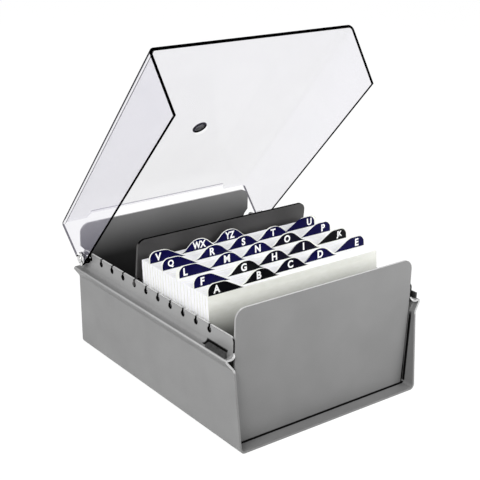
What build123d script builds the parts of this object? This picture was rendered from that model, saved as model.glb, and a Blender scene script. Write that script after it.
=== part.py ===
"""Index card drawer: a folded steel tray with a clear hinged hood, an adjustable support plate,
and a set of A to Z index guides with the cards between them.

Millimetres. The origin is the centre of the tray's underside, +Z is up, the front faces -Y.
The hood stands half open, as it is propped while the cards are being used.
"""
import os
from math import cos, radians, sin, tan

from build123d import *

# ---------------------------------------------------------------- driving dimensions
card_width = 127.0
card_height = 76.2
card_lean = 6.0

tray_width = 134.0
tray_depth = 172.0
sheet = 1.2
floor_bend = 3.5

wall_height = 48.8
wall_spread = 1.7
ledge_height = 56.3
ledge_reach = 7.5
rail_height = 67.3
wall_front_setback = 5.3
ledge_front_setback = 7.0
wall_rear_setback = 1.5
rail_end = 168.0
wall_crown = 2.0
wall_crown_rear = 2.7
bend_wall = 3.0
bend_ledge = 1.3
bend_rail = 2.5
rest_slot_reach = 3.0

bead_height = 3.0
bead_width = 9.0
bead_places = (-48.0, -18.0, 18.0, 48.0)
bead_end_gap = 17.0
bead_taper = 12.0

notch_count = 11
notch_pitch = 12.8
notch_first = 30.4
notch_width = 1.7
notch_foot_radius = 1.4
notch_depth = 4.7

panel_height = 83.2
front_half_foot = 63.4
front_half_top = 65.7
rear_gap = 0.4
front_panel_recess = 8.5
front_corner_radius = 6.5
rear_corner_radius = 6.5
rear_half_width = 67.0
rear_half_foot = 60.0
rear_neck = 68.4
flange = 5.0
front_flange_width = 116.0
rear_flange_width = 112.0

plate_height = 91.5
plate_width = 129.0
plate_thickness = 1.6
plate_lean = 4.8
plate_at_rail = 108.95
plate_notch = 6
plate_corner = 5.0
plate_foot_gap = 0.2
lug_thickness = 1.0
lug_front_gap = 0.06
lug_root = 62.5
lug_reach = 67.6
lug_height = 3.6
lug_foot_gap = 0.6

guide_thickness = 0.5
stack_front = 28.9
row_depths = (13.5, 16.8, 14.9, 13.2, 9.1)
row_letters = (
    ("a", "b", "c", "d", "e"),
    ("f", "g", "h", "i", "jk"),
    ("l", "m", "n", "o", "p"),
    ("q", "r", "s", "t", "u"),
    ("v", "wx", "yz"),
)
tab_height = 7.0
tabs_across = 5
tab_flank = 8.7
tab_end_flank = 12.0
tab_step = 0.5
tab_shoulder = 9.5
tab_foot = 8.0
tab_corner = 4.5
card_corner = 1.0
card_gap = 0.1

hinge_back = 161.8
hinge_height = 63.8
pin_radius = 1.5
pin_clearance = 0.05
pin_head_radius = 2.3
pin_tail_radius = 2.4
pin_tail_thickness = 0.8
pin_length = 7.4
pin_head_thickness = 0.9
pin_head_gap = 0.45
pin_head_round = 0.6
hood_wall = 1.9
hood_open = 49.2
hood_rim_drop = 3.8
hood_rim_half = 72.45
hood_top_half = 73.6
hood_front_low = 155.1
hood_front_high = 164.5
hood_front_rise = 34.3
hood_rear_rise = 29.6
hood_corner = 3.5
hood_heel_radius = 1.8
hood_tail_back = 0.3
hood_cut_width = 110.0
hood_cut_depth = 5.0
hood_cut_corner = 3.5
boss_radius = 3.7
boss_length = 4.2
boss_gap = 0.3
badge_diameter = 9.8
badge_thickness = 0.5
badge_across = -0.9
badge_down = 2.4
badge_round = 0.2

rest_top = 59.7
rest_width = 1.4
rest_front = 8.8
rest_rear = 27.0
rest_side = 4.6
rest_slope = 2.0
rest_rear_height = 1.2
rest_stem_side = 4.2
rest_stem_width = 1.0
rest_stem_length = 14.0

# ---------------------------------------------------------------- worked-out places
half_width = tray_width / 2
front = -tray_depth / 2
card_floor = sheet + bead_height
tilt = radians(card_lean)
swing = radians(hood_open)
hinge_y = front + hinge_back


def hood_point(back, rise):
    """Place on the open hood, given behind and above the hinge as if the hood were closed."""
    y = hinge_y + back * cos(swing) + rise * sin(swing)
    z = hinge_height - back * sin(swing) + rise * cos(swing)
    return Vector(0, y, z)


# ---------------------------------------------------------------- tray
# One strip of sheet, seen from the front: rail, shoulder, flared ledge, wall, floor, and back up.
left_section = [
    (-half_width, rail_height),
    (-half_width, ledge_height),
    (-half_width - ledge_reach, ledge_height),
    (-half_width - wall_spread, wall_height),
    (-half_width, 0),
]
right_section = [(-x, z) for x, z in reversed(left_section)]
bend_radii = [bend_rail, bend_ledge, bend_wall, floor_bend]
side_outline = [
    (front, 0),
    (front + wall_front_setback, wall_height),
    (front + ledge_front_setback, ledge_height),
    (front + front_panel_recess, ledge_height + wall_crown),
    (front + front_panel_recess, rail_height),
    (front + rail_end, rail_height),
    (front + rail_end, ledge_height + wall_crown),
    (front + tray_depth - wall_crown_rear, ledge_height),
    (front + tray_depth - wall_rear_setback, wall_height),
    (front + tray_depth, 0),
]

with BuildPart() as tray:
    with BuildSketch(Plane.XZ.offset(-front)):
        with BuildLine():
            FilletPolyline(*left_section, *right_section, radius=bend_radii + bend_radii[::-1])
            offset(amount=sheet, side=Side.LEFT)
        make_face()
    extrude(amount=-tray_depth)

    # the ends of the walls lean back from the floor, and the rails are shorter than the floor
    with BuildSketch(Plane.YZ) as side_view:
        with BuildLine():
            Polyline(*side_outline, close=True)
        make_face()
        fillet(side_view.vertices().group_by(Axis.Y)[-1], radius=bend_wall)
    extrude(amount=tray_width, both=True, mode=Mode.INTERSECT)

    # notches that take the support plate's lugs, with a round foot to each
    with BuildSketch(Plane.YZ):
        for number in range(notch_count):
            middle = front + notch_first + number * notch_pitch
            foot_z = rail_height - notch_depth + notch_foot_radius
            with Locations((middle, foot_z)):
                Circle(notch_foot_radius)
                Rectangle(notch_width, notch_depth, align=(Align.CENTER, Align.MIN))
    extrude(amount=tray_width, both=True, mode=Mode.SUBTRACT)

    # holes for the hinge pins
    with BuildSketch(Plane.YZ):
        with Locations((hinge_y, hinge_height)):
            Circle(pin_radius)
    extrude(amount=tray_width, both=True, mode=Mode.SUBTRACT)

    # slots in the shoulders for the stems of the hood rests
    with BuildSketch(Plane.XY.offset(ledge_height + 1)):
        for side in (-1, 1):
            with Locations((side * (half_width + rest_stem_side), front + (rest_front + rest_rear) / 2)):
                Rectangle(rest_stem_width, rest_stem_length)
    extrude(amount=-rest_slot_reach, mode=Mode.SUBTRACT)

    # long beads pressed up in the floor, which the cards stand on
    with BuildSketch(Plane.XY.offset(sheet)):
        for place in bead_places:
            with Locations((place, 0)):
                SlotOverall(tray_depth - 2 * bead_end_gap, bead_width, rotation=90)
    extrude(amount=bead_height, taper=bead_taper)
    with BuildSketch(Plane.XY):
        for place in bead_places:
            with Locations((place, 0)):
                SlotOverall(tray_depth - 2 * bead_end_gap - 2 * sheet, bead_width - 2 * sheet, rotation=90)
    extrude(amount=bead_height, taper=bead_taper, mode=Mode.SUBTRACT)

# ---------------------------------------------------------------- front panel
front_panel_outline = [
    (-front_half_foot, sheet),
    (-front_half_top, ledge_height),
    (-front_half_top, panel_height),
    (front_half_top, panel_height),
    (front_half_top, ledge_height),
    (front_half_foot, sheet),
]
with BuildPart() as front_panel:
    with BuildSketch(Plane.XZ.offset(-front - front_panel_recess)) as front_face:
        with BuildLine():
            Polyline(*front_panel_outline, close=True)
        make_face()
        fillet(front_face.vertices().group_by(Axis.Y)[-1], radius=front_corner_radius)
    extrude(amount=-sheet)
    with BuildSketch(Plane.XY.offset(sheet)):
        with Locations((0, front + front_panel_recess + sheet)):
            Rectangle(front_flange_width, flange, align=(Align.CENTER, Align.MIN))
    extrude(amount=sheet)

# ---------------------------------------------------------------- rear panel
rear_panel_outline = [
    (-rear_half_foot, sheet),
    (-rear_half_foot - 1.0, rear_neck - 9.4),
    (-rear_half_width + 2.6, rear_neck - 2.8),
    (-rear_half_width, rear_neck),
    (-rear_half_width, panel_height),
    (rear_half_width, panel_height),
    (rear_half_width, rear_neck),
    (rear_half_width - 2.6, rear_neck - 2.8),
    (rear_half_foot + 1.0, rear_neck - 9.4),
    (rear_half_foot, sheet),
]
with BuildPart() as rear_panel:
    with BuildSketch(Plane.XZ.offset(-front - tray_depth + rear_gap + sheet)) as rear_face:
        with BuildLine():
            Polyline(*rear_panel_outline, close=True)
        make_face()
        fillet(rear_face.vertices().group_by(Axis.Y)[-1], radius=rear_corner_radius)
    extrude(amount=-sheet)
    with BuildSketch(Plane.XY.offset(sheet)):
        with Locations((0, front + tray_depth - rear_gap - sheet)):
            Rectangle(rear_flange_width, flange, align=(Align.CENTER, Align.MAX))
    extrude(amount=sheet)

# ---------------------------------------------------------------- hinge pins and hood rests
hinge_pins = {}
hood_rests = {}
for side_name, side in (("left", -1), ("right", 1)):
    axle = Plane(origin=(0, hinge_y, hinge_height), x_dir=(0, 1, 0), z_dir=(side, 0, 0))
    with BuildPart() as pin:
        with BuildSketch(axle.offset(half_width - sheet - pin_tail_thickness)):
            Circle(pin_tail_radius)
        extrude(amount=pin_tail_thickness)
        with BuildSketch(axle.offset(half_width - sheet)):
            Circle(pin_radius)
        extrude(amount=pin_length)
        with BuildSketch(axle.offset(hood_rim_half + pin_head_gap)):
            Circle(pin_head_radius)
        extrude(amount=pin_head_thickness)
        fillet(pin.edges().group_by(Axis.X)[-1 if side > 0 else 0], radius=pin_head_round)
    hinge_pins[side_name] = pin

    middle_y = front + (rest_front + rest_rear) / 2
    with BuildPart() as rest:
        with BuildSketch(Plane.YZ.offset(side * (half_width + rest_side) - rest_width / 2)):
            with BuildLine():
                Polyline(
                    (front + rest_front, ledge_height),
                    (front + rest_front, rest_top),
                    (front + rest_rear - rest_slope, rest_top),
                    (front + rest_rear, ledge_height + rest_rear_height),
                    (front + rest_rear, ledge_height),
                    close=True,
                )
            make_face()
        extrude(amount=rest_width)
        with BuildSketch(Plane.XY.offset(ledge_height)):
            with Locations((side * (half_width + rest_stem_side), middle_y)):
                Rectangle(rest_stem_width, rest_stem_length)
        extrude(amount=-sheet)
    hood_rests[side_name] = rest

# ---------------------------------------------------------------- support plate
plate_tilt = radians(plate_lean)
plate_foot_y = front + plate_at_rail + (rail_height - card_floor) * tan(plate_tilt)
plate_face = Plane(
    origin=(0, plate_foot_y, card_floor + plate_foot_gap),
    x_dir=(1, 0, 0),
    z_dir=(0, -cos(plate_tilt), -sin(plate_tilt)),
)
plate_length = (plate_height - card_floor - plate_foot_gap) / cos(plate_tilt)
notch_y = front + notch_first + plate_notch * notch_pitch
lug_front = notch_y - notch_width / 2 + lug_front_gap
with BuildPart() as support_plate:
    with BuildSketch(plate_face) as plate_front:
        Rectangle(plate_width, plate_length, align=(Align.CENTER, Align.MIN))
        fillet(plate_front.vertices().group_by(Axis.Y)[-1], radius=plate_corner)
    extrude(amount=plate_thickness / 2, both=True)
    # a bent lug at each side drops into a pair of notches in the rails
    with BuildSketch(Plane.XY.offset(rail_height - notch_depth + lug_foot_gap)):
        for side in (-1, 1):
            with BuildLine():
                Polyline(
                    (side * lug_root, front + plate_at_rail - 0.4),
                    (side * (lug_root + 1.4), lug_front),
                    (side * lug_reach, lug_front),
                    (side * lug_reach, lug_front + lug_thickness),
                    (side * (lug_root + 2.1), lug_front + lug_thickness),
                    (side * (lug_root + 1.2), front + plate_at_rail + 0.6),
                    (side * lug_root, front + plate_at_rail + 0.6),
                    close=True,
                )
            make_face()
    extrude(amount=lug_height)

# ---------------------------------------------------------------- hood
hood_side = Plane(origin=hood_point(0, 0), x_dir=(0, cos(swing), -sin(swing)), z_dir=(1, 0, 0))
hood_nose = hood_point(-hood_front_high, hood_front_rise)
hood_tail = hood_point(hood_tail_back, hood_rear_rise)
hood_end = Plane(origin=hood_nose, x_dir=(1, 0, 0), z_dir=hood_nose - hood_tail)
hood_top = Plane(origin=(hood_nose + hood_tail) * 0.5, x_dir=(1, 0, 0), z_dir=hood_end.y_dir)
hood_length = (hood_nose - hood_tail).length
hood_section = [
    (-hood_rim_half, -40.0),
    (-hood_top_half, 0),
    (hood_top_half, 0),
    (hood_rim_half, -40.0),
]
hood_profile = [
    (-hood_front_high, hood_front_rise),
    (-hood_front_low, -hood_rim_drop),
    (hood_rim_drop, -hood_rim_drop),
    (hood_tail_back, hood_rear_rise),
]
with BuildPart() as hood:
    with BuildSketch(hood_end):
        with BuildLine():
            FilletPolyline(*hood_section, radius=hood_corner)
            offset(amount=hood_wall, side=Side.RIGHT)
        make_face()
    extrude(amount=-hood_length - 12)
    with BuildSketch(hood_side) as hood_view:
        with BuildLine():
            Polyline(*hood_profile, close=True)
        make_face()
        fillet(hood_view.vertices().sort_by(Axis.X)[-1], radius=hood_heel_radius)
    extrude(amount=tray_width, both=True, mode=Mode.INTERSECT)

    # the rear edge of the top panel is cut back between the two sides
    with BuildSketch(hood_top) as cut_back:
        with Locations((0, hood_length / 2)):
            Rectangle(hood_cut_width, 2 * hood_cut_depth)
        fillet(cut_back.vertices().group_by(Axis.Y)[0], radius=hood_cut_corner)
    extrude(amount=2 * hood_wall, both=True, mode=Mode.SUBTRACT)

    # bosses for the hinge pins, which keep the sides of the hood off the rails
    for side in (-1, 1):
        axle = Plane(origin=(0, hinge_y, hinge_height), x_dir=(0, 1, 0), z_dir=(side, 0, 0))
        with BuildSketch(axle.offset(half_width + boss_gap)):
            Circle(boss_radius)
        extrude(amount=boss_length)
    with BuildSketch(Plane.YZ):
        with Locations((hinge_y, hinge_height)):
            Circle(pin_radius + pin_clearance)
    extrude(amount=tray_width, both=True, mode=Mode.SUBTRACT)

with BuildPart() as hood_badge:
    with BuildSketch(hood_top):
        with Locations((badge_across, badge_down)):
            Circle(badge_diameter / 2)
    extrude(amount=badge_thickness)
    fillet(hood_badge.edges().filter_by(GeomType.CIRCLE).sort_by(Axis.Z)[-1], radius=badge_round)

# ---------------------------------------------------------------- index guides and cards
lean_way = Vector(0, sin(tilt), cos(tilt))


def tab_outline(number):
    """Outline of a guide with its tab at one of the five places across."""
    pitch = card_width / tabs_across
    left = -card_width / 2 + number * pitch
    right = left + pitch
    foot = card_height
    top = card_height + tab_height
    shape = [(-card_width / 2, 0)]
    radii = []
    if number == 0:
        shape += [(left, top), (left + tab_end_flank, top)]
        radii += [tab_corner, tab_shoulder]
    else:
        shape += [(-card_width / 2, foot), (left + tab_step, foot)]
        radii += [card_corner, tab_foot]
    if 0 < number < tabs_across - 1:
        shape += [(left + tab_flank, top), (right - tab_flank, top)]
        radii += [tab_shoulder, tab_shoulder]
    if number == tabs_across - 1:
        shape += [(right - tab_end_flank, top), (right, top)]
        radii += [tab_shoulder, tab_corner]
    else:
        shape += [(right - tab_step, foot), (card_width / 2, foot)]
        radii += [tab_foot, card_corner]
    shape += [(card_width / 2, 0)]
    return shape, radii


guides = {}
card_packs = {}
row_start = front + stack_front
for letters, depth in zip(row_letters, row_depths):
    pitch = depth / len(letters)
    for number, letter in enumerate(letters):
        start = row_start + number * pitch
        face = Plane(origin=(0, start, card_floor + 0.1), x_dir=(1, 0, 0), z_dir=(0, -cos(tilt), sin(tilt)))
        shape, radii = tab_outline(number)
        with BuildPart() as guide:
            with BuildSketch(face):
                with BuildLine():
                    edge = FilletPolyline(*shape, radius=radii)
                    Line(edge @ 1, edge @ 0)
                make_face()
            extrude(amount=-guide_thickness)
        guides[letter] = guide

        pack_front = start + guide_thickness / cos(tilt)
        pack_rear = start + pitch - card_gap
        slope = card_height * sin(tilt)
        rise = card_height * cos(tilt)
        with BuildPart() as cards:
            with BuildSketch(Plane.YZ.offset(-card_width / 2)):
                with BuildLine():
                    Polyline(
                        (pack_front, card_floor + 0.1),
                        (pack_rear, card_floor + 0.1),
                        (pack_rear + slope, card_floor + 0.1 + rise),
                        (pack_front + slope, card_floor + 0.1 + rise),
                        close=True,
                    )
                make_face()
            extrude(amount=card_width)
        card_packs[letter] = cards
    row_start += depth

# ---------------------------------------------------------------- hand over
pieces = {
    "tray": tray,
    "front_panel": front_panel,
    "rear_panel": rear_panel,
    "hood": hood,
    "hood_badge": hood_badge,
    "support_plate": support_plate,
}
for side_name in ("left", "right"):
    pieces["hinge_pin_" + side_name] = hinge_pins[side_name]
    pieces["hood_rest_" + side_name] = hood_rests[side_name]
for letter in guides:
    pieces["guide_" + letter] = guides[letter]
    pieces["cards_" + letter] = card_packs[letter]

os.makedirs("parts", exist_ok=True)
for piece_name, piece in pieces.items():
    piece.part.label = piece_name
    export_step(piece.part, "parts/" + piece_name + ".step")
    if not piece_name.startswith(("guide_", "cards_")) or piece_name.endswith("_a"):
        box = piece.part.bounding_box()
        print(piece_name, round(piece.part.volume, 1), box, piece.part.is_valid, len(piece.part.solids()))
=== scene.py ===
"""Dresses the index card drawer: enamelled steel tray, clear moulded hood, cards and lettered guides.

Everything is in metres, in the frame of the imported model: the origin is the centre of the tray's
underside, +Z is up and the front of the tray faces -Y.
"""

import logging
import math
import random
from dataclasses import dataclass, field
from enum import Enum
from typing import Any, Callable

import bmesh
import bpy
from mathutils import Matrix, Vector

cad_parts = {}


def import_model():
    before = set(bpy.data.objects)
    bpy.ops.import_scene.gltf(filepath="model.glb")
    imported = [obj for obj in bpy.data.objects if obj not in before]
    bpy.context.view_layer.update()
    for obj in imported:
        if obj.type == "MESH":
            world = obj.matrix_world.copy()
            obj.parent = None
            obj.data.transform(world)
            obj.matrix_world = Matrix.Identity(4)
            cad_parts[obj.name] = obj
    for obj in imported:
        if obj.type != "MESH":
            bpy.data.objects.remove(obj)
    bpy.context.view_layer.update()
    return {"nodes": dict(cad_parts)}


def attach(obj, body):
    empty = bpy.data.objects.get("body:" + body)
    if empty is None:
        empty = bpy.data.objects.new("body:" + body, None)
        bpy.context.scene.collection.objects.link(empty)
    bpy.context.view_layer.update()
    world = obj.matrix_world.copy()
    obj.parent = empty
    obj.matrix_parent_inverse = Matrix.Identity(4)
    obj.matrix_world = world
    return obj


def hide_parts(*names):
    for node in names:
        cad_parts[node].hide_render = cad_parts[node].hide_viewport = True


LOG = logging.getLogger("card_drawer")

# metres in a millimetre, and the shader's usual specular level
MM = 0.001
PLAIN_SHINE = 0.5

Span = tuple[float, float]
Triple = tuple[float, float, float]
Tree = bpy.types.NodeTree
Socket = bpy.types.NodeSocket
Piece = bpy.types.Object
Material = bpy.types.Material


# ------------------------------------------------------------------------------------- small tools
def linear(hex_colour: str, alpha: float = 1.0) -> tuple[float, float, float, float]:
    """Turns an sRGB hex value into linear colour.

    Args:
        hex_colour: six hex digits, with or without a hash.
        alpha: the fourth value of the result.

    Returns:
        Red, green, blue and alpha, each from 0 to 1.
    """
    digits = hex_colour.lstrip("#")
    values = [int(digits[i : i + 2], 16) / 255 for i in (0, 2, 4)]
    red, green, blue = (v / 12.92 if v <= 0.04045 else ((v + 0.055) / 1.055) ** 2.4 for v in values)
    return (red, green, blue, alpha)


def add_node(tree: Tree, kind: str, sockets: dict[Any, Any] | None = None, **settings: Any) -> Any:
    """Adds a node, sets its properties, and fills or links its inputs.

    Args:
        tree: the node tree that takes the node.
        kind: the node's type name.
        sockets: input name or number to a value, or to another node's output.
        **settings: properties of the node itself.

    Returns:
        The new node.
    """
    made = tree.nodes.new(kind)
    for name, value in settings.items():
        setattr(made, name, value)
    for key, value in (sockets or {}).items():
        if isinstance(value, Socket):
            tree.links.new(value, made.inputs[key])
        else:
            made.inputs[key].default_value = value
    return made


def bare_material(name: str) -> tuple[Material, Tree, Any]:
    """Makes a material with only an output node.

    Args:
        name: the material's name.

    Returns:
        The material, its node tree, and the output node.
    """
    material = bpy.data.materials.new(name)
    material.use_nodes = True
    tree = material.node_tree
    tree.nodes.clear()
    return material, tree, add_node(tree, "ShaderNodeOutputMaterial")


def object_place(tree: Tree) -> Socket:
    """Gives the place on the object in metres, which moves with the piece."""
    return add_node(tree, "ShaderNodeTexCoord").outputs["Object"]


def noise(tree: Tree, size_mm: float, stretch: Triple = (1, 1, 1), detail: float = 2.0) -> Socket:
    """Adds a noise whose blotches are about size_mm across, and returns its value from 0 to 1."""
    place = add_node(tree, "ShaderNodeMapping", {"Vector": object_place(tree), "Scale": stretch})
    made = add_node(tree, "ShaderNodeTexNoise",
                    {"Vector": place.outputs[0], "Scale": 1 / (size_mm * MM), "Detail": detail})
    return made.outputs["Fac"]


def remap(tree: Tree, value: Socket, low: float, high: float) -> Socket:
    """Spreads a noise value, which mostly runs from 0.3 to 0.7, over low to high."""
    made = add_node(tree, "ShaderNodeMapRange",
                    {"Value": value, "From Min": 0.3, "From Max": 0.7, "To Min": low, "To Max": high})
    return made.outputs["Result"]


def calc(tree: Tree, operation: str, first: Any, second: Any = None) -> Socket:
    """Adds one arithmetic node and returns its result."""
    sockets = {0: first} if second is None else {0: first, 1: second}
    return add_node(tree, "ShaderNodeMath", sockets, operation=operation).outputs[0]


def share(tree: Tree, mask: Socket, part: float) -> Socket:
    """Keeps a part of a mask's strength."""
    return calc(tree, "MULTIPLY", mask, part)


def inverse(tree: Tree, mask: Socket) -> Socket:
    """Turns a mask round, so that it covers what it left out."""
    return calc(tree, "SUBTRACT", 1.0, mask)


def ramp(tree: Tree, value: Socket, none: float, full: float) -> Socket:
    """Returns 0 on the near side of one value and 1 on the far side of another."""
    made = add_node(tree, "ShaderNodeMapRange", {"Value": value, "From Min": none, "From Max": full})
    return made.outputs["Result"]


def fade(tree: Tree, place: Socket, span: Span) -> Socket:
    """Rises from 0 to 1 over a span given in millimetres, where the place itself is in metres."""
    return ramp(tree, place, span[0] * MM, span[1] * MM)


def within(tree: Tree, place: Socket, span: Span, soft: float = 0.1) -> Socket:
    """Returns 1 inside a span given in millimetres and 0 outside it, with ends that are a little soft."""
    above = fade(tree, place, (span[0] - soft, span[0] + soft))
    below = fade(tree, place, (span[1] + soft, span[1] - soft))
    return calc(tree, "MULTIPLY", above, below)


def product(tree: Tree, *masks: Socket) -> Socket:
    """Keeps only what every mask covers."""
    result = masks[0]
    for mask in masks[1:]:
        result = calc(tree, "MULTIPLY", result, mask)
    return result


def either(tree: Tree, *masks: Socket) -> Socket:
    """Keeps what any of the masks covers."""
    result = masks[0]
    for mask in masks[1:]:
        result = calc(tree, "MAXIMUM", result, mask)
    return result


def blend(tree: Tree, mask: Socket, first: Any, second: Any) -> Socket:
    """Mixes two colours, each a hex value or the output of another node: the second where the mask is 1."""
    made = add_node(tree, "ShaderNodeMix", {"Factor": mask}, data_type="RGBA")
    for number, colour in ((6, first), (7, second)):
        if isinstance(colour, str):
            made.inputs[number].default_value = linear(colour)
        else:
            tree.links.new(colour, made.inputs[number])
    return made.outputs[2]


def axes(tree: Tree, output: str) -> tuple[Socket, ...]:
    """Splits the object's place or normal into its three numbers."""
    vector = add_node(tree, "ShaderNodeTexCoord").outputs[output]
    split = add_node(tree, "ShaderNodeSeparateXYZ", {0: vector})
    return tuple(split.outputs[axis] for axis in "XYZ")


def dress(piece: Piece, material: Material) -> None:
    """Gives the whole piece one material."""
    piece.data.materials.clear()
    piece.data.materials.append(material)


def deselect() -> None:
    """Leaves object mode with nothing selected."""
    if bpy.context.object and bpy.context.object.mode != "OBJECT":
        bpy.ops.object.mode_set(mode="OBJECT")
    bpy.ops.object.select_all(action="DESELECT")


def activate(piece: Piece) -> None:
    """Makes a piece the only selected and the active one."""
    deselect()
    piece.select_set(True)
    bpy.context.view_layer.objects.active = piece


def settle(piece: Piece) -> None:
    """Puts a piece's place, turn and size into its mesh, so that its object sits at the origin."""
    activate(piece)
    bpy.context.view_layer.update()
    bpy.ops.object.transform_apply(location=True, rotation=True, scale=True)


def copy_of(source: Piece, name: str) -> Piece:
    """Copies a piece with a mesh of its own.

    Args:
        source: the piece copied.
        name: the copy's name.

    Returns:
        The copy, which is in the scene and not selected.
    """
    piece = bpy.data.objects.new(name, source.data.copy())
    piece.data.name = name
    bpy.context.scene.collection.objects.link(piece)
    return piece


def pick_faces(piece: Piece, wanted: Callable[[Any], bool]) -> None:
    """Selects, in edit mode, the faces that pass a test and nothing else."""
    bpy.ops.mesh.select_mode(type="FACE")
    bpy.ops.mesh.select_all(action="DESELECT")
    shell = bmesh.from_edit_mesh(piece.data)
    for face in shell.faces:
        face.select_set(wanted(face))
    bmesh.update_edit_mesh(piece.data)


def pick_edges(piece: Piece, wanted: Callable[[Any], bool]) -> None:
    """Selects, in edit mode, the edges that pass a test and nothing else."""
    bpy.ops.mesh.select_mode(type="EDGE")
    bpy.ops.mesh.select_all(action="DESELECT")
    shell = bmesh.from_edit_mesh(piece.data)
    for edge in shell.edges:
        edge.select_set(wanted(edge))
    bmesh.update_edit_mesh(piece.data)


def finish_with(piece: Piece, kind: str, **settings: Any) -> None:
    """Adds a modifier to a piece and applies it.

    Args:
        piece: the mesh piece.
        kind: the modifier's type.
        **settings: the modifier's properties.
    """
    activate(piece)
    modifier = piece.modifiers.new(kind.title(), kind)
    for name, value in settings.items():
        setattr(modifier, name, value)
    bpy.ops.object.modifier_apply(modifier=modifier.name)


# ---------------------------------------------------------------------------------------- finishes
@dataclass(frozen=True)
class Enamel:
    """Stoved enamel sprayed on sheet steel: a satin skin with a faint orange peel."""

    name: str
    colour: str
    dark: str
    roughness: float = 0.42
    peel_mm: float = 1.1
    peel_height_mm: float = 0.012
    drift_mm: float = 30.0
    speck_mm: float = 0.9
    speck_share: float = 0.12
    rough_patch_mm: float = 12.0

    def tone(self, tree: Tree) -> tuple[Socket, Socket | None]:
        """Drifts slightly over 30 mm, with specks of about 1 mm, as sprayed paint does."""
        drift = remap(tree, noise(tree, self.drift_mm), 0.0, 1.0)
        speck = remap(tree, noise(tree, self.speck_mm, detail=4.0), -self.speck_share, self.speck_share)
        both = add_node(tree, "ShaderNodeMath", {0: drift, 1: speck}, operation="ADD", use_clamp=True)
        return blend(tree, both.outputs[0], self.dark, self.colour), None

    def make(self) -> Material:
        """Builds the enamel, whose peel shows as soft ripples."""
        material, tree, output = bare_material(self.name)
        peel = add_node(tree, "ShaderNodeBump",
                        {"Height": noise(tree, self.peel_mm), "Distance": self.peel_height_mm * MM,
                         "Strength": 0.9})
        rough = remap(tree, noise(tree, self.rough_patch_mm, detail=3.0), self.roughness - 0.05,
                      self.roughness + 0.06)
        tone, shine = self.tone(tree)
        shader = add_node(tree, "ShaderNodeBsdfPrincipled",
                          {"Base Color": tone, "Roughness": rough, "IOR": 1.5, "Normal": peel.outputs[0]})
        if shine is not None:
            tree.links.new(shine, shader.inputs["Specular IOR Level"])
        tree.links.new(shader.outputs[0], output.inputs[0])
        return material


@dataclass(frozen=True)
class EdgedEnamel(Enamel):
    """Enamel on a sheared plate whose upper edge, the face that looks up, is drawn near black and without
    shine.
    """

    edge: str = "#040404"

    def tone(self, tree: Tree) -> tuple[Socket, Socket | None]:
        """Darkens the edge that faces up, and takes its shine away."""
        upward = ramp(tree, axes(tree, "Normal")[2], 0.4, 0.6)
        shine = share(tree, inverse(tree, upward), PLAIN_SHINE)
        return blend(tree, upward, super().tone(tree)[0], self.edge), shine


@dataclass(frozen=True)
class TrayPlaces:
    """Where the tray's painted shade, near-black painted crease shade and painted highlights begin and end,
    in millimetres.

    "run" is along Y, "across" is outwards from the middle, and "height" is along Z.
    """

    inside_across: Span = (66.6, 66.2)
    inside_run: Span = (-76.4, 84.0)
    inside_height: Span = (66.0, 36.0)
    rear_run: Span = (60.0, 61.0)
    rear_height: Span = (83.0, 57.0)
    ledge_across: Span = (68.5, 72.2)
    ledge_height: Span = (55.6, 58.8)
    before_panel: Span = (-77.0, -77.3)
    lip_height: Span = (3.0, 2.0)
    panel_height: Span = (75.0, 0.0)
    rail_across: Span = (64.4, 68.6)
    notch_run: Span = (-58.5, 76.0)
    notch_height: Span = (61.8, 66.8)
    notch_first: float = -55.6
    notch_pitch: float = 12.8
    notch_foot_height: float = 64.0
    notch_foot_reach: Span = (2.0, 1.7)
    rest_across: Span = (66.3, 70.8)
    rest_run: Span = (-73.0, -54.0)
    rest_height: Span = (55.6, 58.5)
    panel_run: Span = (-78.4, -76.0)
    panel_foot: Span = (2.2, 1.8)
    corner_across: Span = (65.75, 67.5)
    corner_run: Span = (-78.5, -76.6)
    stop_across: Span = (65.8, 66.0)
    stop_height: Span = (58.0, 58.5)
    front_run: Span = (-70.0, -71.0)
    rail_top: Span = (66.8, 67.0)
    bend_across: Span = (72.3, 72.7)
    bend_height: Span = (55.4, 56.4)
    whole_run: Span = (80.0, -80.0)
    rim_across: Span = (66.2, 65.9)
    rim_height: Span = (20.0, 22.0)
    front_rim_run: Span = (-78.2, -75.6)
    rear_rim_run: Span = (83.5, 83.7)
    end_across: Span = (66.2, 66.4)
    end_height: Span = (48.0, 58.0)
    shoulder_height: Span = (58.4, 67.0)


class TraySurface:
    """The places and slopes of the tray's surface, as node outputs that its masks are made from."""

    def __init__(self, tree: Tree) -> None:
        """Adds the nodes that read the surface.

        Args:
            tree: the material's node tree.
        """
        self.tree = tree
        self.x, self.y, self.z = axes(tree, "Object")
        self.across = calc(tree, "ABSOLUTE", self.x)
        slope_x, slope_y, slope_z = axes(tree, "Normal")
        self.upward = ramp(tree, slope_z, 0.7, 0.9)
        self.forward = ramp(tree, slope_y, -0.6, -0.8)
        self.not_sideways = ramp(tree, calc(tree, "ABSOLUTE", slope_x), 0.75, 0.5)
        self.not_lengthwise = ramp(tree, calc(tree, "ABSOLUTE", slope_y), 0.6, 0.4)
        out_of_middle = calc(tree, "MULTIPLY", self.x, slope_x)
        self.outward = ramp(tree, out_of_middle, 0.05, 0.06)
        self.inward = ramp(tree, out_of_middle, -0.01, -0.03)


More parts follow.
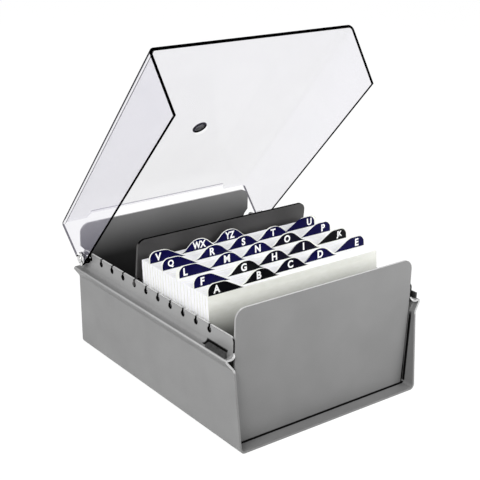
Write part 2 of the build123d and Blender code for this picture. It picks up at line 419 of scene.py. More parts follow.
@dataclass(frozen=True)
class FoldedEnamel(Enamel):
    """The tray's grey enamel, with painted light and shade laid over it: cut edges and outer bends get a
    painted highlight, which looks pale.

    The creases, the notches and the inside of the tray down towards the floor get painted shade, which looks
    dark.
    """

    # the colours of the painted highlight, the near-black painted shade of creases and notches and the dark
    # painted shade inside the tray, then how strong each painted part is
    edge: str = "#cfcfcf"
    crease_shade: str = "#0c0c0c"
    shade: str = "#262626"
    soft_shade_share: float = 0.42
    low_share: float = 0.2
    rim_share: float = 0.55
    shoulder_share: float = 0.3
    bend_share: Span = (0.3, 0.75)
    highlight_share: float = 0.55
    places: TrayPlaces = TrayPlaces()

    def notch_feet(self, skin: TraySurface) -> Socket:
        """Finds the round feet of the notches, which repeat at one pitch along both rails."""
        tree, at = skin.tree, self.places
        along = calc(tree, "PINGPONG", calc(tree, "SUBTRACT", skin.y, at.notch_first * MM),
                     at.notch_pitch * MM / 2)
        above = calc(tree, "SUBTRACT", skin.z, at.notch_foot_height * MM)
        squares = calc(tree, "ADD", calc(tree, "POWER", along, 2.0),
                       calc(tree, "POWER", calc(tree, "ABSOLUTE", above), 2.0))
        return product(tree, fade(tree, calc(tree, "SQRT", squares), at.notch_foot_reach),
                       within(tree, skin.across, at.rail_across), within(tree, skin.y, at.notch_run))

    def shades(self, skin: TraySurface) -> Socket:
        """Finds what lies in shade: inside the tray, at the rear, on the ledges and before the panel."""
        tree, at = skin.tree, self.places
        before_panel = fade(tree, skin.y, at.before_panel)
        inner = product(tree, fade(tree, skin.across, at.inside_across), within(tree, skin.y, at.inside_run),
                        fade(tree, skin.z, at.inside_height))
        rear = product(tree, skin.forward, fade(tree, skin.y, at.rear_run),
                       fade(tree, skin.z, at.rear_height))
        ledge = product(tree, skin.upward, within(tree, skin.z, at.ledge_height),
                        fade(tree, skin.across, at.ledge_across))
        apron = product(tree, skin.upward, fade(tree, skin.z, at.lip_height), before_panel)
        cheeks = product(tree, skin.inward, before_panel)
        low = product(tree, skin.forward, fade(tree, skin.z, at.panel_height), before_panel)
        return either(tree, inner, rear, share(tree, either(tree, apron, ledge, cheeks), self.soft_shade_share),
                      share(tree, low, self.low_share))

    def crease_shading(self, skin: TraySurface, feet: Socket) -> Socket:
        """Finds the creases and cut faces that get a near-black painted shade."""
        tree, at = skin.tree, self.places
        notches = product(tree, skin.not_sideways, within(tree, skin.across, at.rail_across),
                          within(tree, skin.z, at.notch_height), within(tree, skin.y, at.notch_run))
        beside_rest = product(tree, within(tree, skin.across, at.rest_across),
                              within(tree, skin.z, at.rest_height, 0.3),
                              within(tree, skin.y, at.rest_run, 0.4))
        foot = product(tree, within(tree, skin.y, at.panel_run), fade(tree, skin.z, at.panel_foot))
        corner = product(tree, skin.inward, within(tree, skin.y, at.corner_run),
                         within(tree, skin.across, at.corner_across))
        stop = product(tree, skin.forward, fade(tree, skin.z, at.stop_height),
                       fade(tree, skin.across, at.stop_across), fade(tree, skin.y, at.front_run))
        return either(tree, notches, feet, beside_rest, foot, corner, stop)

    def painted_highlights(self, skin: TraySurface, feet: Socket) -> Socket:
        """Finds the cut edges, outer bends, rail tops and shoulders that get a painted highlight."""
        tree, at = skin.tree, self.places
        rail = product(tree, skin.upward, fade(tree, skin.z, at.rail_top))
        faint, strong = self.bend_share
        fading = calc(tree, "ADD", share(tree, fade(tree, skin.y, at.whole_run), strong - faint), faint)
        bend = product(tree, within(tree, skin.z, at.bend_height, 0.15),
                       fade(tree, skin.across, at.bend_across), fading)
        at_ends = either(tree, within(tree, skin.y, at.front_rim_run), fade(tree, skin.y, at.rear_rim_run))
        rims = product(tree, skin.not_lengthwise, at_ends, fade(tree, skin.across, at.rim_across),
                       share(tree, fade(tree, skin.z, at.rim_height), self.rim_share))
        ends = product(tree, skin.forward, within(tree, skin.z, at.end_height, 0.4),
                       fade(tree, skin.across, at.end_across), fade(tree, skin.y, at.front_run))
        shoulder = product(tree, skin.outward, within(tree, skin.z, at.shoulder_height, 0.6))
        lit = product(tree, share(tree, shoulder, self.shoulder_share), inverse(tree, feet))
        return either(tree, rail, bend, rims, ends, lit)

    def tone(self, tree: Tree) -> tuple[Socket, Socket | None]:
        """Lays the painted shade, the near-black painted shade of the creases and the painted highlights over
        the plain enamel.
        """
        skin = TraySurface(tree)
        feet = self.notch_feet(skin)
        crease_shading = self.crease_shading(skin, feet)
        # painted shade first, then the near-black painted shade of the creases, then the painted highlights
        shaded = blend(tree, self.shades(skin), super().tone(tree)[0], self.shade)
        crease_shaded = blend(tree, crease_shading, shaded, self.crease_shade)
        pale = share(tree, self.painted_highlights(skin, feet), self.highlight_share)
        return blend(tree, pale, crease_shaded, self.edge), share(tree, inverse(tree, crease_shading), PLAIN_SHINE)


@dataclass(frozen=True)
class CardStock:
    """Uncoated index card: dull white paper with short fibres, its cut top edge streaked and greyer."""

    name: str
    colour: str
    shade: str
    fibre_mm: float = 1.4
    roughness: float = 0.85
    cut: str = "#d2d2d6"
    streak_mm: float = 0.7
    streak_share: Span = (0.15, 0.95)
    # painted shade on the front face towards the foot: its colour, its strength, and the heights over which
    # it fades in
    foot_shade: str = "#2b2b28"
    foot_share: float = 0.0
    foot_height: Span = (76.0, 56.0)

    def make(self) -> Material:
        """Builds the paper: fibres drawn coarser than life, and painted shade on the front face towards the
        foot, where it stands down in the tray.
        """
        material, tree, output = bare_material(self.name)
        fibres = noise(tree, self.fibre_mm, stretch=(0.35, 1.0, 1.0), detail=5.0)
        face = blend(tree, remap(tree, fibres, 0.0, 1.0), self.shade, self.colour)
        streaks = remap(tree, noise(tree, self.streak_mm, stretch=(0.06, 1.0, 1.0), detail=3.0),
                        *self.streak_share)
        upward = ramp(tree, axes(tree, "Normal")[2], 0.5, 0.8)
        edged = blend(tree, calc(tree, "MULTIPLY", upward, streaks), face, self.cut)
        # painted shade: the front face gets darker towards the foot
        forward = ramp(tree, axes(tree, "Normal")[1], -0.6, -0.8)
        down = product(tree, forward, fade(tree, axes(tree, "Object")[2], self.foot_height))
        tone = blend(tree, share(tree, down, self.foot_share), edged, self.foot_shade)
        grain = add_node(tree, "ShaderNodeBump", {"Height": fibres, "Distance": 0.03 * MM, "Strength": 0.5})
        shader = add_node(tree, "ShaderNodeBsdfPrincipled",
                          {"Base Color": tone, "Roughness": self.roughness, "IOR": 1.47,
                           "Specular IOR Level": 0.3, "Normal": grain.outputs[0]})
        tree.links.new(shader.outputs[0], output.inputs[0])
        return material


@dataclass(frozen=True)
class TabFilm:
    """Printed acetate film on a tab: deep ink under a smooth face that throws back little light."""

    name: str
    colour: str
    light: str

    def make(self) -> Material:
        """Builds the film: the ink is a little uneven, and the face has the shallow waves of film."""
        material, tree, output = bare_material(self.name)
        ink = noise(tree, 3.5, detail=3.0)
        waves = add_node(tree, "ShaderNodeBump",
                         {"Height": noise(tree, 5.0), "Distance": 0.03 * MM, "Strength": 0.5})
        shader = add_node(tree, "ShaderNodeBsdfPrincipled",
                          {"Base Color": blend(tree, remap(tree, ink, 0.0, 1.0), self.colour, self.light),
                           "Roughness": 0.3, "IOR": 1.5, "Specular IOR Level": 0.08,
                           "Normal": waves.outputs[0]})
        tree.links.new(shader.outputs[0], output.inputs[0])
        return material


@dataclass(frozen=True)
class PlainPart:
    """A small part in rubber, plastic or plated steel, told apart by colour, metal and roughness."""

    name: str
    colour: str
    light: str
    roughness: float
    metallic: float = 0.0
    grain_mm: float = 0.8
    grain_height_mm: float = 0.02
    stretch: Triple = (1.0, 1.0, 1.0)

    def make(self) -> Material:
        """Builds the finish, with a grain that shows in both its colour and its surface."""
        material, tree, output = bare_material(self.name)
        grain = noise(tree, self.grain_mm, stretch=self.stretch, detail=3.0)
        bump = add_node(tree, "ShaderNodeBump",
                        {"Height": grain, "Distance": self.grain_height_mm * MM, "Strength": 0.8})
        shader = add_node(tree, "ShaderNodeBsdfPrincipled",
                          {"Base Color": blend(tree, remap(tree, grain, 0.0, 1.0), self.colour, self.light),
                           "Roughness": self.roughness, "IOR": 1.5, "Normal": bump.outputs[0]})
        shader.inputs["Metallic"].default_value = self.metallic
        tree.links.new(shader.outputs[0], output.inputs[0])
        return material


@dataclass(frozen=True)
class ClearPolystyrene:
    """Clear moulded polystyrene: nearly invisible faces with a cool tint, and edges that go dark.

    Light that enters a face leaves by the wall's thin edges, so the faces stay pale and the edges
    look black against a white room. The left corner between top and side shows as fine dark lines;
    the right one, lit from behind, does not show. A face is told by its place and by its slope,
    whichever side it is seen from.
    """

    name: str
    face: str
    edge: str
    corner: str
    face_alpha: float = 0.125
    corner_alpha: float = 0.85
    edge_alpha: float = 1.0
    side_tail_share: float = 0.9
    top_tail_share: float = 0.6
    side_skin_mm: float = 1.3
    top_skin_mm: float = 0.7
    rim_mm: float = 3.0
    # the boss round the hinge pin, and the sizes and cut-offs of its painted white and black glints
    boss_mm: float = 4.4
    boss_alpha: float = 0.7
    glint_mm: float = 1.6
    glint_cut: Span = (0.43, 0.47)
    dark_glint_mm: float = 2.2
    dark_glint_cut: Span = (0.53, 0.56)
    scuff_mm: float = 18.0
    scuff_share: Span = (-0.005, 0.006)
    ripple_mm: float = 25.0
    ripple_height_mm: float = 0.05
    corner_start: float = -60.0
    corner_height: Span = (78.0, 82.0)
    soft_mm: float = 0.1

    def along(self, tree: Tree, hood: "HoodFrame", way: Vector) -> Socket:
        """Measures how far a place lies from the hinge along a given way, in metres."""
        dot = add_node(tree, "ShaderNodeVectorMath", {0: object_place(tree), 1: way}, operation="DOT_PRODUCT")
        return calc(tree, "SUBTRACT", dot.outputs["Value"], hood.pivot.dot(way))

    def facing(self, tree: Tree, way: Vector) -> Socket:
        """Tells, as 0 or 1, where a face lies square to a given way."""
        normal = add_node(tree, "ShaderNodeTexCoord").outputs["Normal"]
        dot = add_node(tree, "ShaderNodeVectorMath", {0: normal, 1: way}, operation="DOT_PRODUCT")
        return ramp(tree, calc(tree, "ABSOLUTE", dot.outputs["Value"]), 0.82, 0.94)

    def past(self, tree: Tree, value: Socket, place_mm: float) -> Socket:
        """Tells, as 0 or 1, where a measured value lies past a place given in millimetres."""
        return fade(tree, value, (place_mm - self.soft_mm, place_mm + self.soft_mm))

    def edges(self, tree: Tree, hood: "HoodFrame") -> Socket:
        """Finds the wall's thin edges: strong at the nose and the rim, faint at the tail."""
        rise = self.along(tree, hood, hood.up)
        nose = product(tree, self.facing(tree, hood.nose_way),
                       self.past(tree, self.along(tree, hood, hood.nose_way), hood.nose_reach - 0.4))
        rim = product(tree, self.facing(tree, hood.up), fade(tree, rise, (self.rim_mm, 0.0)))
        tail_face = self.facing(tree, hood.tail_way)
        across = calc(tree, "ABSOLUTE", axes(tree, "Object")[0])
        level = calc(tree, "SUBTRACT", across, calc(tree, "MULTIPLY", rise, hood.side_slope))
        at_tail = self.past(tree, self.along(tree, hood, hood.tail_way), hood.tail_reach - 0.4)
        side = product(tree, tail_face, at_tail, self.past(tree, level, hood.outside - self.side_skin_mm),
                       fade(tree, rise, (hood.top_rise - 2.0, hood.top_rise - 3.0)))
        top = product(tree, tail_face, self.past(tree, rise, hood.top_rise - self.top_skin_mm),
                      fade(tree, across, (hood.cut_half, hood.cut_half - 1.0)))
        return either(tree, nose, rim, share(tree, side, self.side_tail_share),
                      share(tree, top, self.top_tail_share))

    def near(self, tree: Tree, centre: Vector, reach_mm: float,
             keep: tuple[int, int, int] = (1, 1, 1)) -> Socket:
        """Finds what lies within reach of a place.

        Args:
            tree: the node tree.
            centre: the place, in metres.
            reach_mm: the reach.
            keep: 0 for each direction that does not count, and 1 for the others.

        Returns:
            1 within reach and 0 beyond it.
        """
        flat = add_node(tree, "ShaderNodeVectorMath", {0: object_place(tree), 1: Vector(keep)},
                        operation="MULTIPLY")
        reach = add_node(tree, "ShaderNodeVectorMath", {0: flat.outputs[0], 1: centre}, operation="DISTANCE")
        return fade(tree, reach.outputs["Value"], (reach_mm + self.soft_mm, reach_mm - self.soft_mm))

    def corner_lines(self, tree: Tree) -> Socket:
        """Finds the two fine lines where the left corner's curve begins and ends."""
        slope = calc(tree, "ABSOLUTE", axes(tree, "Normal")[0])
        near_top = product(tree, ramp(tree, slope, 0.05, 0.1), ramp(tree, slope, 0.55, 0.5))
        near_side = product(tree, ramp(tree, slope, 0.7, 0.75), ramp(tree, slope, 0.995, 0.985))
        on_left = calc(tree, "LESS_THAN", axes(tree, "Object")[0], self.corner_start * MM)
        above_rim = fade(tree, axes(tree, "Object")[2], self.corner_height)
        return product(tree, either(tree, near_top, near_side), on_left, above_rim)

    def make(self, hood: "HoodFrame") -> Material:
        """Builds the plastic.

        Args:
            hood: the hood's own directions and places.

        Returns:
            The material.
        """
        material, tree, output = bare_material(self.name)
        turn = self.corner_lines(tree)
        # painted glints: the boss round the hinge pin is tinted white with black patches and rings, standing
        # for light caught and bent in the thick plastic
        boss = self.near(tree, hood.pivot, self.boss_mm, (0, 1, 1))
        slope = calc(tree, "ABSOLUTE", axes(tree, "Normal")[0])
        ring = product(tree, boss, calc(tree, "LESS_THAN", slope, 0.5))
        glints = ramp(tree, noise(tree, self.glint_mm, detail=1.0), *self.glint_cut)
        dark_glints = ramp(tree, noise(tree, self.dark_glint_mm, detail=1.0), *self.dark_glint_cut)
        dark = either(tree, self.edges(tree, hood), product(tree, ring, glints), product(tree, boss, dark_glints))
        matt = either(tree, dark, turn)
        clear = inverse(tree, self.near(tree, hood.plug, hood.plug_mm))
        scuffs = remap(tree, noise(tree, self.scuff_mm, detail=2.0), *self.scuff_share)
        base = product(tree, calc(tree, "ADD", scuffs, self.face_alpha), clear)
        alpha = base
        for mask, cover in ((turn, self.corner_alpha), (boss, self.boss_alpha), (dark, self.edge_alpha)):
            alpha = add_node(tree, "ShaderNodeMix", {"Factor": mask, 2: alpha, 3: cover}).outputs[0]
        # the white boss tint is part of the painted glints
        tint = blend(tree, boss, blend(tree, turn, self.face, self.corner), "#ffffff")
        ripple = add_node(tree, "ShaderNodeBump",
                          {"Height": noise(tree, self.ripple_mm), "Distance": self.ripple_height_mm * MM,
                           "Strength": 0.4})
        shader = add_node(tree, "ShaderNodeBsdfPrincipled",
                          {"Base Color": blend(tree, dark, tint, self.edge), "Roughness": 0.08, "IOR": 1.59,
                           "Specular IOR Level": share(tree, inverse(tree, matt), PLAIN_SHINE),
                           "Alpha": alpha, "Normal": ripple.outputs[0]})
        tree.links.new(shader.outputs[0], output.inputs[0])
        return material


@dataclass(frozen=True)
class PlugPlastic:
    """Gloss black moulded plug, whose middle, seen through the hood, carries a painted reflection of the
    clear face it sits on.
    """

    name: str
    rim: str
    middle: str
    light: str
    rim_width_mm: float = 1.8
    soft_mm: float = 0.3
    mottle_mm: float = 1.5
    shine: float = 0.4

    def make(self, hood: "HoodFrame") -> Material:
        """Builds the plug's plastic: a black rim round a mottled grey middle, which is a painted reflection.

        Args:
            hood: the hood's own directions and places.

        Returns:
            The material.
        """
        material, tree, output = bare_material(self.name)
        reach = add_node(tree, "ShaderNodeVectorMath", {0: object_place(tree), 1: hood.plug},
                         operation="DISTANCE")
        inside = hood.plug_mm - self.rim_width_mm
        middle = fade(tree, reach.outputs["Value"], (inside + self.soft_mm, inside - self.soft_mm))
        # painted reflection: the middle is mottled grey where the clear face would grey it
        mottle = remap(tree, noise(tree, self.mottle_mm, detail=3.0), 0.0, 1.0)
        reflected_middle = blend(tree, mottle, self.middle, self.light)
        shader = add_node(tree, "ShaderNodeBsdfPrincipled",
                          {"Base Color": blend(tree, middle, self.rim, reflected_middle), "Roughness": 0.25, "IOR": 1.5,
                           "Specular IOR Level": share(tree, middle, self.shine)})
        tree.links.new(shader.outputs[0], output.inputs[0])
        return material


# ------------------------------------------------------------------------------------------- frames
@dataclass(frozen=True)
class HoodFrame:
    """The open hood's own directions, and how far from the hinge its parts reach, in millimetres.

    "outside" is the outer face of the side walls at the hinge's height, which spread by "side_slope"
    towards the top panel.
    """

    pivot: Vector = Vector((0.0, 75.8, 63.8)) * MM
    opened_degrees: float = 49.2
    closed_nose: Span = (-0.971, -0.2395)
    closed_tail: Span = (0.9946, 0.104)
    nose_reach: float = 151.5
    tail_reach: float = 3.38
    outside: float = 72.58
    side_slope: float = 0.0288
    top_rise: float = 29.7
    cut_half: float = 55.5
    plug: Vector = Vector((-0.9, 47.87, 144.94)) * MM
    plug_mm: float = 4.9

    def turned(self, back: float, rise: float) -> Vector:
        """Turns a direction of the closed hood, given as back and up, into the open one."""
        swing = math.radians(self.opened_degrees)
        return Vector((0, back * math.cos(swing) + rise * math.sin(swing),
                       -back * math.sin(swing) + rise * math.cos(swing)))

    @property
    def up(self) -> Vector:
        """The way from the rim to the top panel."""
        return self.turned(0, 1)

    @property
    def nose_way(self) -> Vector:
        """The way that the hood's front edges face."""
        return self.turned(*self.closed_nose)

    @property
    def tail_way(self) -> Vector:
        """The way that the hood's rear edges face."""
        return self.turned(*self.closed_tail)


@dataclass(frozen=True)
class CardFrame:
    """Where the cards stand, and how they lean, in millimetres and degrees."""

    lean_degrees: float = 6.0
    width: float = 127.0
    height: float = 76.2
    thickness: float = 0.42
    foot: float = 4.3
    stack_front: float = -57.1
    guide_thickness: float = 0.5

    @property
    def lean(self) -> float:
        """The lean in radians."""
        return math.radians(self.lean_degrees)

    @property
    def up(self) -> Vector:
        """The way up a leaning card."""
        return Vector((0, math.sin(self.lean), math.cos(self.lean)))

    @property
    def back(self) -> Vector:
        """The way through a leaning card, towards the rear."""
        return Vector((0, math.cos(self.lean), -math.sin(self.lean)))

    def place(self, across: float, up: float, front: float, behind: float = 0.0) -> Vector:
        """Finds a place on a leaning card.

        Args:
            across: millimetres to the right of the middle.
            up: millimetres up the card from its foot.
            front: Y of the card's front foot, in millimetres.
            behind: millimetres through the card from its front face.

        Returns:
            The place in metres.
        """
        start = Vector((across, front, self.foot))
        return (start + self.up * up + self.back * behind) * MM


# --------------------------------------------------------------------------------------- the tray
@dataclass
class TraySheetMetal:
    """The folded tray with its two panels, rests and hinge pins, all of which stay with the tray."""

    nodes: dict[str, Piece]
    grey: FoldedEnamel = FoldedEnamel("stoved grey enamel on folded steel", "#868686", "#7f7f7f")
    rubber: PlainPart = PlainPart("moulded black rubber", "#0e0e0e", "#2e2e2e", 0.7, 0.0, 1.6, 0.05)
    steel: PlainPart = PlainPart("zinc-plated rivet steel", "#c0c0c0", "#dadada", 0.12, 1.0, 1.2, 0.02,
                                 (4, 1, 1))

    def build(self) -> None:
        """Gives the tray's own parts their finishes."""
        enamel = self.grey.make()
        for name in ("tray", "front_panel", "rear_panel"):
            dress(self.nodes[name], enamel)
        rubber = self.rubber.make()
        steel = self.steel.make()
        for side in ("left", "right"):
            dress(self.nodes["hood_rest_" + side], rubber)
            dress(self.nodes["hinge_pin_" + side], steel)
        LOG.info("tray, panels, rests and hinge pins dressed")


# ---------------------------------------------------------------------------------------- the hood
@dataclass
class ClearHood:
    """The hinged hood and the small round plug in its top panel."""

    nodes: dict[str, Piece]
    frame: HoodFrame = field(default_factory=HoodFrame)
    plastic: ClearPolystyrene = ClearPolystyrene("clear moulded polystyrene", "#b2aec4", "#010101", "#18181a")
    plug: PlugPlastic = PlugPlastic("gloss black moulded plug", "#000000", "#4a4a4c", "#8e8e90")

    def build(self) -> None:
        """Gives the hood and its plug their finishes."""
        dress(self.nodes["hood"], self.plastic.make(self.frame))
        dress(self.nodes["hood_badge"], self.plug.make(self.frame))
        LOG.info("hood and plug dressed")


# ------------------------------------------------------------------------------- the support plate
@dataclass
class SupportPlate:
    """The dark plate that leans against the last card."""

    nodes: dict[str, Piece]
    charcoal: EdgedEnamel = EdgedEnamel("charcoal enamel on steel plate", "#403f3f", "#3a3939", 0.5, 1.0,
                                        0.01)

    def build(self) -> None:
        """Gives the plate its finish."""
        dress(self.nodes["support_plate"], self.charcoal.make())
        LOG.info("support plate dressed")


# ----------------------------------------------------------------------------- cards and the guides
class Ink(Enum):
    """The tones that the tabs are printed in."""

    NAVY = ("navy printed tab film", "#060432", "#0a0840")
    MIDNIGHT = ("midnight printed tab film", "#050414", "#08071c")
    BLACK = ("black printed tab film", "#050508", "#0a0a0e")


@dataclass(frozen=True)
class TabPlaces:
    """Where the letter stands on each of the five tabs, from the card's left edge."""

    pitch: float = 25.4
    first: float = 6.2
    middle: float = 12.5
    last: float = 19.2

    def across(self, number: int) -> float:
        """Gives the letter's distance from the card's middle, for a tab counted from the left."""
        inside = {0: self.first, 4: self.last}.get(number, self.middle)
        return (number - 2.5) * self.pitch + inside


@dataclass
class CardSection:
    """One lettered guide with its printed tab, and the pack of cards behind it."""

    key: str
    letters: str
    number: int
    front: float
    pitch: float
    ink: Material
    cards: CardFrame
    places: TabPlaces = TabPlaces()
    letter_height: float = 4.6
    letter_rise: float = 3.25
    letter_lift: float = 0.045
    letter_bold: float = 0.035
    letter_depth: float = 0.004
    letter_curve_steps: int = 4
    double_squeeze: float = 0.86
    film_seat: float = 0.05
    film_thickness: float = 0.03
    film_size: Triple = (0.97, 0.955, 0.955)
    slack: float = 0.1
    card_gap: float = 0.004
    wander: float = 0.03
    droop: float = 0.2

    @property
    def body(self) -> str:
        """The body that the section lifts out with."""
        return "section_" + self.key

    def film(self, guide: Piece) -> Piece:
        """Cuts the printed film from a copy of the guide's tab, just inside the tab's edge.

        Args:
            guide: the guide, which is only copied.

        Returns:
            The film, one mesh with a front and a back sheet.
        """
        piece = copy_of(guide, "tab_film_" + self.key)
        activate(piece)
        bpy.ops.object.mode_set(mode="EDIT")
        bpy.ops.mesh.select_all(action="SELECT")
        bpy.ops.mesh.remove_doubles(threshold=0.001 * MM)
        foot = self.cards.place(0, self.cards.height + self.film_seat, self.front)
        bpy.ops.mesh.bisect(plane_co=foot, plane_no=self.cards.up, clear_inner=True)
        pick_faces(piece, lambda face: abs(face.normal.dot(self.cards.back)) < 0.9)
        bpy.ops.mesh.delete(type="FACE")
        bpy.ops.mesh.select_all(action="SELECT")
        sides = [vertex.co.x / MM for vertex in bmesh.from_edit_mesh(piece.data).verts]
        middle = self.cards.place((min(sides) + max(sides)) / 2, self.cards.height, self.front,
                                  self.cards.guide_thickness / 2)
        bpy.ops.transform.resize(value=self.film_size, center_override=middle)
        for way in (-1, 1):
            pick_faces(piece, lambda face, way=way: way * face.normal.dot(self.cards.back) > 0.9)
            bpy.ops.transform.translate(value=self.cards.back * way * self.film_thickness * MM)
        deselect()
        finish_with(piece, "SOLIDIFY", thickness=self.film_thickness * MM, offset=-1.0)
        return piece

    def letter(self) -> Piece:
        """Makes the letter as a thin raised print in the middle of the tab.

        Returns:
            The letter's mesh.
        """
        deselect()
        bpy.ops.object.text_add(location=(0, 0, 0))
        text = bpy.context.object
        text.data.body = self.letters
        text.data.offset = self.letter_bold
        text.data.extrude = self.letter_depth
        text.data.resolution_u = self.letter_curve_steps
        bpy.ops.object.convert(target="MESH")
        piece = bpy.context.object
        piece.name = piece.data.name = "letter_" + self.key
        bpy.ops.object.origin_set(type="ORIGIN_GEOMETRY", center="BOUNDS")
        size = self.letter_height * MM / piece.dimensions.y
        squeeze = self.double_squeeze if len(self.letters) > 1 else 1.0
        piece.scale = (size * squeeze, size, size)
        piece.rotation_euler = (math.radians(90 - self.cards.lean_degrees), 0, 0)
        across = self.places.across(self.number)
        piece.location = self.cards.place(across, self.cards.height + self.letter_rise, self.front,
                                          -self.letter_lift)
        settle(piece)
        return piece

    def pack(self, blank: Piece, dice: random.Random) -> Piece:
        """Stands copies of one card behind the guide, each slightly out of line.

        Args:
            blank: the card that is copied, 1 mm thick and standing on the origin.
            dice: the seeded source of the small differences between cards.

        Returns:
            One mesh with all the cards of the pack.
        """
        guide_depth = self.cards.guide_thickness / math.cos(self.cards.lean)
        depth = self.pitch - self.slack - guide_depth
        count = max(3, round(depth / self.cards.thickness))
        step = depth / count
        boards = []
        for number in range(count):
            board = copy_of(blank, f"card_{self.key}_{number}")
            board.scale.y = (step - self.card_gap) * math.cos(self.cards.lean)
            board.rotation_euler.x = -self.cards.lean
            behind = guide_depth + (number + 0.5) * step
            board.location = self.cards.place(dice.uniform(-self.wander, self.wander), 0, self.front + behind)
            board.location.z -= dice.uniform(0.0, self.droop) * MM
            boards.append(board)
        activate(boards[0])
        for board in boards:
            board.select_set(True)
        bpy.context.view_layer.update()
        bpy.ops.object.join()
        piece = bpy.context.object
        piece.name = piece.data.name = "pack_" + self.key
        settle(piece)
        return piece


@dataclass
class CardFile:
    """All the guides and cards, in five rows that step back and up the alphabet."""

    nodes: dict[str, Piece]
    cards: CardFrame = field(default_factory=CardFrame)
    row_depths: tuple[float, ...] = (13.5, 16.8, 14.9, 13.2, 9.1)
    rows: tuple[tuple[str, ...], ...] = (
        ("A", "B", "C", "D", "E"),
        ("F", "G", "H", "I", "JK"),
        ("L", "M", "N", "O", "P"),
        ("Q", "R", "S", "T", "U"),
        ("V", "WX", "YZ"),
    )
    black: tuple[str, ...] = ("A", "B", "G", "JK")
    midnight: tuple[str, ...] = ("C", "H", "I", "O")
    board: CardStock = CardStock("off-white guide board", "#e9eae4", "#e3e4dc", 1.8)
    # the front guide's board is the same board with painted shade on its front face towards the foot
    shaded_front_board: CardStock = CardStock("off-white front guide board with painted shade", "#e9eae4", "#e3e4dc", 1.8,
                                       foot_share=0.85)
    stock: CardStock = CardStock("white index card stock", "#ededf0", "#e6e6ea", 0.9)
    print_white: CardStock = CardStock("white printed letter", "#f4f4f4", "#ececec", 1.0, 0.5)
    side_clear: float = 0.2
    foot_clear: float = 0.3
    top_clear: float = 0.1
    cut_radius: float = 0.12

    def blank(self) -> Piece:
        """Models the card that is copied: upright on the origin and 1 mm thick.

        Returns:
            The card, with the edges that the cutter left along its top slightly rounded.
        """
        width = self.cards.width - 2 * self.side_clear
        height = self.cards.height - self.foot_clear - self.top_clear
        deselect()
        bpy.ops.mesh.primitive_cube_add(size=1, location=(0, 0, (self.foot_clear + height / 2) * MM),
                                        scale=(width * MM, MM, height * MM))
        piece = bpy.context.object
        piece.name = piece.data.name = "card_blank"
        settle(piece)
        top = (self.foot_clear + height) * MM
        bpy.ops.object.mode_set(mode="EDIT")
        pick_edges(piece, lambda edge: all(abs(v.co.z - top) < 0.01 * MM for v in edge.verts)
                   and abs(edge.verts[0].co.x - edge.verts[1].co.x) > MM)
        bpy.ops.mesh.bevel(offset=self.cut_radius * MM, segments=2)
        deselect()
        return piece

    def build(self) -> None:
        """Builds every section from the front to the rear."""
        dice = random.Random(35)
        board = self.board.make()
        shaded_front_board = self.shaded_front_board.make()
        stock = self.stock.make()
        white = self.print_white.make()
        inks = {ink: TabFilm(*ink.value).make() for ink in Ink}
        blank = self.blank()
        row_front = self.cards.stack_front
        for letters, depth in zip(self.rows, self.row_depths):
            pitch = depth / len(letters)
            for number, letter in enumerate(letters):
                ink = Ink.NAVY
                if letter in self.black:
                    ink = Ink.BLACK
                elif letter in self.midnight:
                    ink = Ink.MIDNIGHT
                section = CardSection(letter.lower(), letter, number, row_front + number * pitch, pitch,
                                      inks[ink], self.cards)
                first = section.front == self.cards.stack_front
                dress(self.nodes["guide_" + section.key], shaded_front_board if first else board)
                self.add_print(section, white)
                self.add_pack(section, blank, stock, dice)
                LOG.info("section %s built", section.letters)
            row_front += depth
        bpy.data.objects.remove(blank)

    def add_print(self, section: CardSection, white: Material) -> None:
        """Puts the film and the letter on a section's guide.

        Args:
            section: the section's sizes and place.
            white: the letter's finish.
        """
        film = section.film(self.nodes["guide_" + section.key])
        dress(film, section.ink)
        letter = section.letter()
        dress(letter, white)
        for piece in (film, letter):
            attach(piece, section.body)

    def add_pack(self, section: CardSection, blank: Piece, stock: Material,
                 dice: random.Random) -> None:
        """Puts the cards behind a section's guide, in place of the plain block.

        Args:
            section: the section's sizes and place.
            blank: the card that is copied.
            stock: the cards' finish.
            dice: the seeded source of small differences.
        """
        pack = section.pack(blank, dice)
        dress(pack, stock)
        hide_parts("cards_" + section.key)
        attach(pack, section.body)


# ------------------------------------------------------------------------------------- the studio
@dataclass(frozen=True)
class Lamp:
    """One soft square lamp: where it stands and what it points at, in metres, its side and its watts."""

    name: str
    place: Triple
    aim: Triple
    size: float
    watts: float

    def build(self) -> None:
        """Adds the lamp to the scene."""
        deselect()
        bpy.ops.object.light_add(type="AREA", location=self.place)
        lamp = bpy.context.object
        lamp.name = self.name
        lamp.data.shape = "SQUARE"
        lamp.data.size = self.size
        lamp.data.energy = self.watts
        lamp.rotation_euler = (Vector(self.aim) - Vector(self.place)).to_track_quat("-Z", "Y").to_euler()


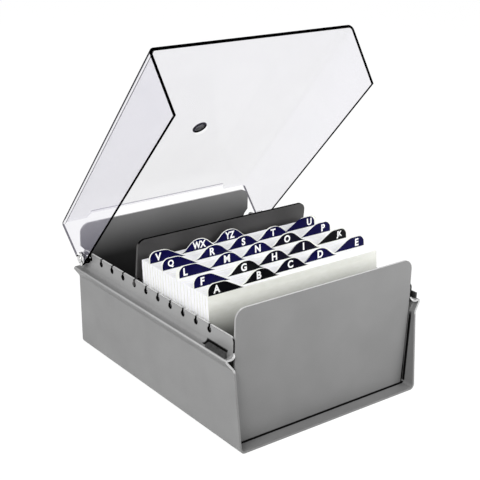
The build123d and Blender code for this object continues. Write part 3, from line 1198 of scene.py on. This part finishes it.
@dataclass
class Studio:
    """Plain white studio: a floor that keeps the shadow, soft lamps, and the camera.

    The camera's place is in millimetres. It was worked out from the straight edges of the tray.
    """

    eye: Triple = (-392.94, -503.69, 323.85)
    yaw_degrees: float = 37.623
    pitch_degrees: float = 20.395
    roll_degrees: float = 1.258
    lens: float = 83.67
    shift: Span = (0.00124, -0.00515)
    room: float = 0.42
    backdrop: float = 1.12
    floor_glow: float = 0.86
    floor_colour: str = "#b4b4b4"
    lamps: tuple[Lamp, ...] = (
        Lamp("key_lamp", (-1.0, -0.45, 0.8), (0, 0, 0.05), 0.7, 15.2),
        Lamp("front_lamp", (0.30, -0.38, 0.30), (0.03, -0.08, 0.06), 0.25, 1.5),
        Lamp("top_lamp", (0.1, 0.2, 1.3), (0, 0, 0.05), 0.9, 7.0),
    )

    def camera(self) -> None:
        """Stands the camera at the place from which the object is seen."""
        deselect()
        bpy.ops.object.camera_add(location=Vector(self.eye) * MM)
        camera = bpy.context.object
        camera.name = "camera"
        turn = (Matrix.Rotation(math.radians(-self.yaw_degrees), 4, "Z")
                @ Matrix.Rotation(math.radians(90 - self.pitch_degrees), 4, "X")
                @ Matrix.Rotation(math.radians(self.roll_degrees), 4, "Z"))
        camera.rotation_euler = turn.to_euler()
        camera.data.lens = self.lens
        camera.data.sensor_width = 36.0
        camera.data.shift_x, camera.data.shift_y = self.shift
        camera.data.clip_start, camera.data.clip_end = 0.01, 50.0
        bpy.context.scene.camera = camera

    def floor(self) -> None:
        """Lays the floor, which the camera sees as white except where the shadow falls."""
        deselect()
        bpy.ops.mesh.primitive_plane_add(size=12, location=(0, 0, -0.0002))
        floor = bpy.context.object
        floor.name = "studio_floor"
        settle(floor)
        material, tree, output = bare_material("white studio floor")
        rays = add_node(tree, "ShaderNodeLightPath")
        seen = either(tree, rays.outputs["Is Camera Ray"], rays.outputs["Is Glossy Ray"],
                      rays.outputs["Is Transmission Ray"])
        paper = add_node(tree, "ShaderNodeBsdfDiffuse", {"Color": linear(self.floor_colour)})
        glow = add_node(tree, "ShaderNodeEmission", {"Color": (1, 1, 1, 1), "Strength": self.backdrop})
        both = add_node(tree, "ShaderNodeMixShader",
                        {0: share(tree, seen, self.floor_glow), 1: paper.outputs[0], 2: glow.outputs[0]})
        tree.links.new(both.outputs[0], output.inputs[0])
        floor.data.materials.append(material)

    def world(self) -> None:
        """Fills the room with even light, which the camera sees as white."""
        world = bpy.data.worlds.new("white room")
        bpy.context.scene.world = world
        world.use_nodes = True
        tree = world.node_tree
        tree.nodes.clear()
        output = add_node(tree, "ShaderNodeOutputWorld")
        rays = add_node(tree, "ShaderNodeLightPath")
        seen = either(tree, rays.outputs["Is Camera Ray"], rays.outputs["Is Transmission Ray"])
        light = add_node(tree, "ShaderNodeBackground", {"Color": (1, 1, 1, 1), "Strength": self.room})
        shown = add_node(tree, "ShaderNodeBackground", {"Color": (1, 1, 1, 1), "Strength": self.backdrop})
        both = add_node(tree, "ShaderNodeMixShader", {0: seen, 1: light.outputs[0], 2: shown.outputs[0]})
        tree.links.new(both.outputs[0], output.inputs[0])

    def build(self) -> None:
        """Sets up the camera, the lamps, the floor and the room."""
        bpy.context.scene.view_settings.view_transform = "Standard"
        self.camera()
        self.floor()
        self.world()
        for lamp in self.lamps:
            lamp.build()
        LOG.info("studio ready")


def main() -> None:
    """Builds every sub-assembly in order."""
    logging.basicConfig(level=logging.INFO, format="%(name)s: %(message)s")
    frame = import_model()
    nodes = frame["nodes"]
    deselect()
    Studio().build()
    TraySheetMetal(nodes).build()
    SupportPlate(nodes).build()
    CardFile(nodes).build()
    ClearHood(nodes).build()
    deselect()


if __name__ == "__main__":
    main()
